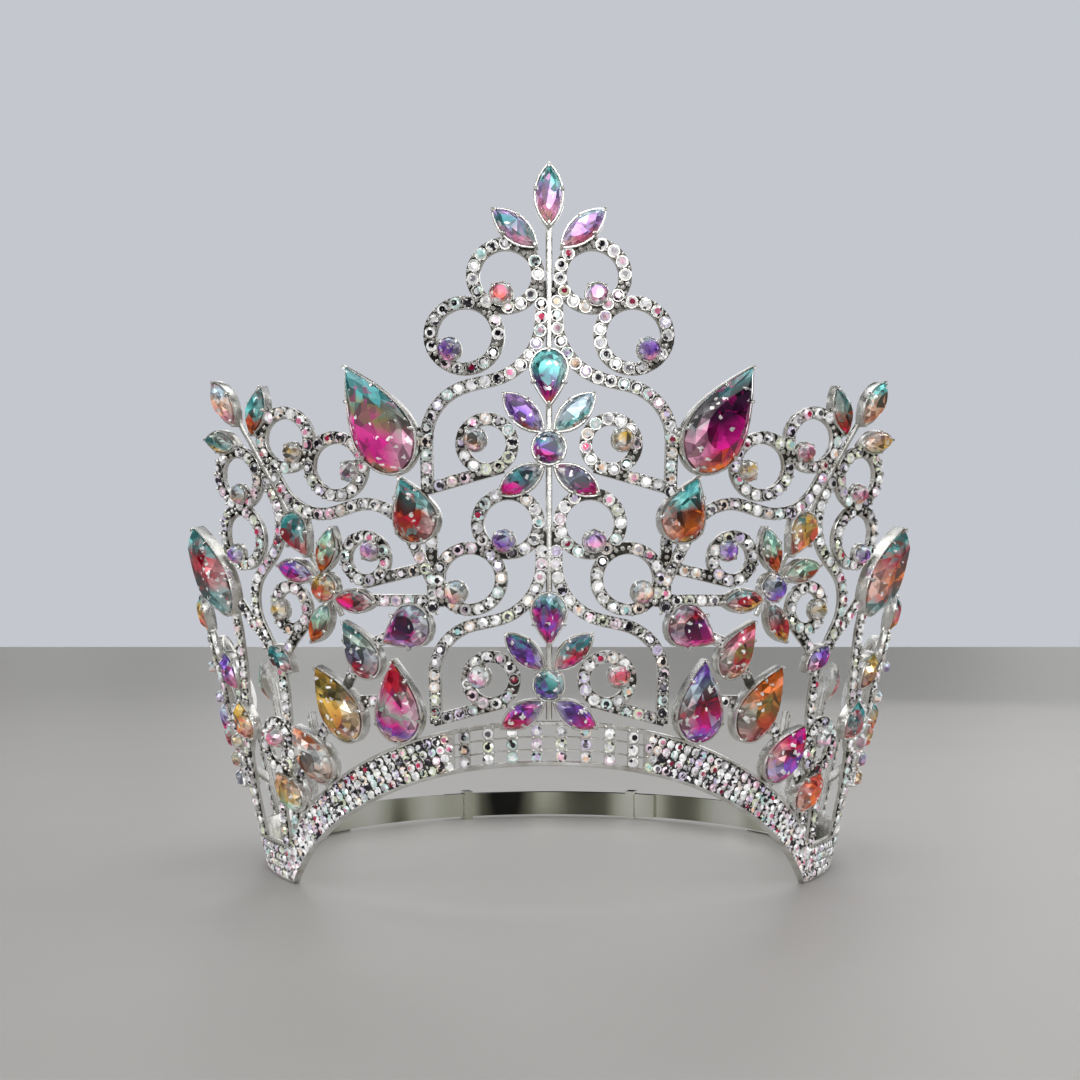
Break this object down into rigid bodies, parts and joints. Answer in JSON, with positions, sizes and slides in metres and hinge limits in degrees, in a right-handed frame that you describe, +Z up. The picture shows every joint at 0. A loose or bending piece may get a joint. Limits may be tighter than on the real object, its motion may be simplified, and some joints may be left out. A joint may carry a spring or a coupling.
{
  "type": "pageant crown",
  "caption": "Tall flared pageant crown with pierced scrollwork, set with iridescent faceted stones and closed at the back by a plain overlapping strap.",
  "frame": {"origin": "on the floor, at the centre of the ring that goes round the head", "axes": "+Z up through the ring, -Y to the front where the crown is tallest, +X to the crown's right as seen from the front"},
  "size_m": [0.2074, 0.173, 0.1708],
  "materials": {
    "silver_metal": "bright plated metal",
    "polished_strap": "mirror polish",
    "aurora_stone": "faceted, iridescent coating"
  },
  "bodies": {
    "root": {"crown_frame": "silver_metal", "back_strap_right": "polished_strap", "back_strap_left": "polished_strap", "strap_keeper_right": "polished_strap", "strap_keeper_left": "polished_strap", "loop_stones": "aurora_stone", "side_leaf_stones": "aurora_stone", "top_leaf_middle": "aurora_stone", "top_leaf_left": "aurora_stone", "top_leaf_right": "aurora_stone", "upper_pear": "aurora_stone", "upper_round": "aurora_stone", "upper_leaf_left": "aurora_stone", "upper_leaf_right": "aurora_stone", "upper_foot_left": "aurora_stone", "upper_foot_right": "aurora_stone", "lower_pear": "aurora_stone", "lower_round": "aurora_stone", "lower_leaf_left": "aurora_stone", "lower_leaf_right": "aurora_stone", "lower_foot_left": "aurora_stone", "lower_foot_right": "aurora_stone", "post_large_pear_left": "aurora_stone", "post_large_pear_right": "aurora_stone", "post_upper_pear_left": "aurora_stone", "post_upper_pear_right": "aurora_stone", "post_middle_pear_left": "aurora_stone", "post_middle_pear_right": "aurora_stone", "post_lower_pear_left": "aurora_stone", "post_lower_pear_right": "aurora_stone", "low_pear_1_left": "aurora_stone", "low_pear_1_right": "aurora_stone", "low_pear_2_left": "aurora_stone", "low_pear_2_right": "aurora_stone", "low_pear_3_left": "aurora_stone", "low_pear_3_right": "aurora_stone", "low_pear_4_left": "aurora_stone", "low_pear_4_right": "aurora_stone", "side_large_pear_left": "aurora_stone", "side_large_pear_right": "aurora_stone", "side_top_leaf_middle_left": "aurora_stone", "side_top_leaf_front_left": "aurora_stone", "side_top_leaf_back_left": "aurora_stone", "side_top_leaf_middle_right": "aurora_stone", "side_top_leaf_front_right": "aurora_stone", "side_top_leaf_back_right": "aurora_stone"}
  },
  "joints": []
}
